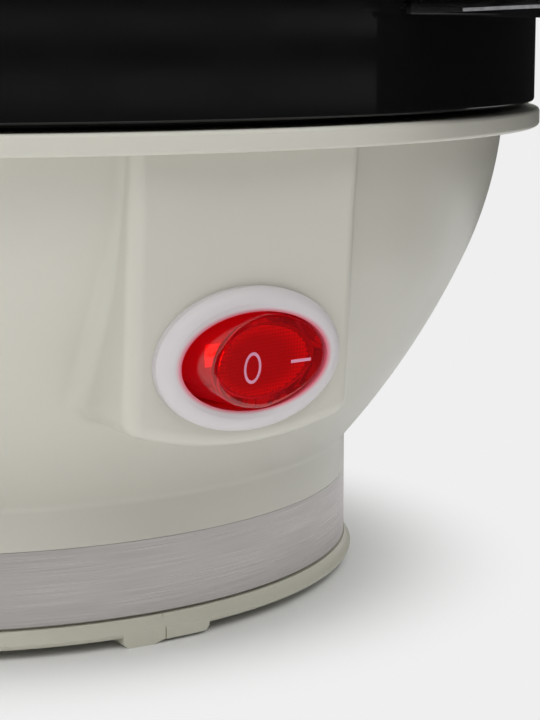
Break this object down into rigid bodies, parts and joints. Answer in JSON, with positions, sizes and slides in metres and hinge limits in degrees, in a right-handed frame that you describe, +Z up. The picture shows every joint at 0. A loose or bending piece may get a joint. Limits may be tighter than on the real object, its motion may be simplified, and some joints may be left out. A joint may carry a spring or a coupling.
{
  "type": "electric egg cooker",
  "caption": "Round electric egg cooker: bowl base with steel neck band and lit rocker switch, egg tray with ears, clear domed lift-off lid with knob.",
  "frame": {"origin": "centre of the base on the table, under the axis of the bowl", "axes": "+Z up along the bowl's axis; -Y is the side with the switch, +Y the side with the cord bushing; +X to the right when the switch faces the viewer"},
  "size_m": [0.1726, 0.1934, 0.1553],
  "materials": {
    "cream_abs": "satin",
    "cream_cover": "satin",
    "cream_bezel": "gloss",
    "brushed_strip": "brushed",
    "zinc_steel": "satin",
    "soft_grommet": "matte",
    "plate_steel": "satin",
    "silicone_seal": "matte",
    "element_sheath": "satin",
    "brown_phenolic": "matte",
    "white_nylon": "matte",
    "brass_contact": "satin",
    "red_rocker": "gloss",
    "red_diffuser": "gloss",
    "neon_glass": "gloss",
    "black_pp": "gloss",
    "clear_polycarbonate": "gloss",
    "black_phenolic": "gloss"
  },
  "bodies": {
    "base": {"base_housing": "cream_abs", "basin_liner": "cream_abs", "trim_band": "brushed_strip", "bottom_cover": "cream_cover", "cover_screws": "zinc_steel", "cord_bushing": "soft_grommet", "heating_plate": "plate_steel", "plate_seal": "silicone_seal", "plate_clips": "zinc_steel", "clip_nuts": "zinc_steel", "heater_element": "element_sheath", "thermostat": "brown_phenolic", "thermostat_strap": "zinc_steel", "thermal_fuse": "zinc_steel", "fuse_strap": "zinc_steel", "terminal_block": "white_nylon", "block_screw": "zinc_steel", "switch_housing": "cream_bezel", "switch_terminals": "brass_contact"},
    "rocker": {"rocker_cap": "red_rocker", "rocker_diffuser": "red_diffuser", "rocker_carrier": "white_nylon", "neon_lamp": "neon_glass"},
    "contact": {"contact_lever": "brass_contact"},
    "tray": {"egg_tray": "black_pp"},
    "lid": {"lid_dome": "clear_polycarbonate", "lid_knob": "black_phenolic", "knob_washer": "zinc_steel", "knob_screw": "zinc_steel"}
  },
  "joints": [
    {"name": "rocker_tilt", "type": "hinge", "parent": "base", "child": "rocker", "pos_m": [0, -0.07716, 0.04121], "axis": [0, 0.0698, -0.9976], "range_deg": [0, 22]},
    {"name": "contact_tilt", "type": "hinge", "parent": "base", "child": "contact", "pos_m": [0, -0.06978, 0.04172], "axis": [0, 0.0698, -0.9976], "range_deg": [-14, 0]},
    {"name": "tray_lift", "type": "slide", "parent": "base", "child": "tray", "axis": [0, 0, 1], "range_m": [0, 0.06]},
    {"name": "lid_lift", "type": "slide", "parent": "tray", "child": "lid", "axis": [0, 0, 1], "range_m": [0, 0.1]}
  ],
  "couplings": [
    {"joint": "contact_tilt", "follows": "rocker_tilt", "ratio": -0.63636}
  ]
}
